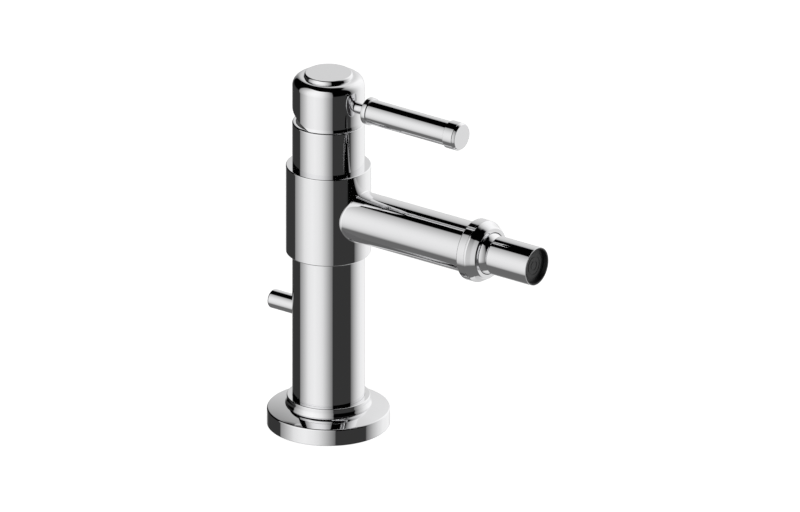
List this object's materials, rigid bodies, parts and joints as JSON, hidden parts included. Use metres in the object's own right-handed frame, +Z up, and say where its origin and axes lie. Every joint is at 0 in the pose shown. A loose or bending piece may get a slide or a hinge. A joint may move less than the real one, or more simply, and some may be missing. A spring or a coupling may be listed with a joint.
{
  "type": "bidet mixer",
  "caption": "Chrome single-lever bidet mixer: round column on a flange, collared spout with a swivel aerator nozzle, side lever on a domed cap and a rear pop-up control.",
  "frame": {"origin": "on the column's axis at the underside of the base flange", "axes": "+Z up along the column, +X along the spout and the lever"},
  "size_m": [0.1487, 0.056, 0.1721],
  "materials": {
    "chrome": "polished plating",
    "brass": "turned",
    "rubber": "moulded",
    "nylon": "moulded",
    "ceramic": "lapped",
    "steel": "turned",
    "dark_plastic": "moulded"
  },
  "bodies": {
    "mixer_body": {"base_gasket": "rubber", "base_flange": "chrome", "foot_ring": "chrome", "column_tube": "chrome", "base_insert": "brass", "popup_pivot_pin": "steel", "popup_bracket": "brass", "valve_body": "brass", "collar_seals": "rubber", "spout_collar": "chrome", "spout_tube": "chrome", "swivel_socket": "chrome", "swivel_nut": "chrome", "seat_oring": "rubber", "neck_sleeve": "chrome", "glide_ring": "dark_plastic", "cartridge_nut": "brass", "cartridge_housing": "nylon", "cartridge_plate": "nylon", "cartridge_seals": "rubber", "fixed_disc": "ceramic"},
    "turret": {"spindle_turret": "nylon", "spindle_pin": "steel"},
    "handle": {"lever_spindle": "steel", "handle_cap": "chrome", "handle_screw": "steel", "top_button": "chrome", "lever_stem": "chrome", "lever_grip": "chrome", "lever_end_cap": "chrome"},
    "disc_slide": {"moving_disc": "ceramic", "disc_carrier": "nylon"},
    "seat_ring": {"ball_seat": "nylon"},
    "nozzle": {"swivel_ball": "chrome", "nozzle_tube": "chrome", "aerator_housing": "dark_plastic", "aerator_screen": "steel", "aerator_washer": "rubber"},
    "popup_lever": {"popup_knob": "chrome", "popup_arm": "brass"},
    "lift_rod": {"lift_rod": "brass"}
  },
  "joints": [
    {"name": "lever_turn", "type": "hinge", "parent": "mixer_body", "child": "turret", "pos_m": [0, 0, 0.144], "axis": [0, 0, 1], "range_deg": [-45, 45]},
    {"name": "lever_tilt", "type": "hinge", "parent": "turret", "child": "handle", "pos_m": [0, 0, 0.144], "axis": [0, -1, 0], "range_deg": [0, 22]},
    {"name": "disc_travel", "type": "slide", "parent": "turret", "child": "disc_slide", "axis": [1, 0, 0], "range_m": [0, 0.00342]},
    {"name": "nozzle_turn", "type": "hinge", "parent": "mixer_body", "child": "seat_ring", "pos_m": [0.087, 0, 0.10585], "axis": [1, 0, 0], "continuous": true},
    {"name": "nozzle_tilt", "type": "hinge", "parent": "seat_ring", "child": "nozzle", "pos_m": [0.087, 0, 0.10585], "axis": [0, 1, 0], "range_deg": [-15, 15]},
    {"name": "popup_rock", "type": "hinge", "parent": "mixer_body", "child": "popup_lever", "pos_m": [-0.0118, 0, 0.0533], "axis": [0, 1, 0], "range_deg": [-15, 15]},
    {"name": "rod_lift", "type": "slide", "parent": "mixer_body", "child": "lift_rod", "axis": [0, 0, 1], "range_m": [-0.0055, 0.0055]}
  ],
  "couplings": [
    {"joint": "disc_travel", "follows": "lever_tilt", "m_per_rad": 0.0089},
    {"joint": "rod_lift", "follows": "popup_rock", "m_per_rad": -0.021}
  ]
}
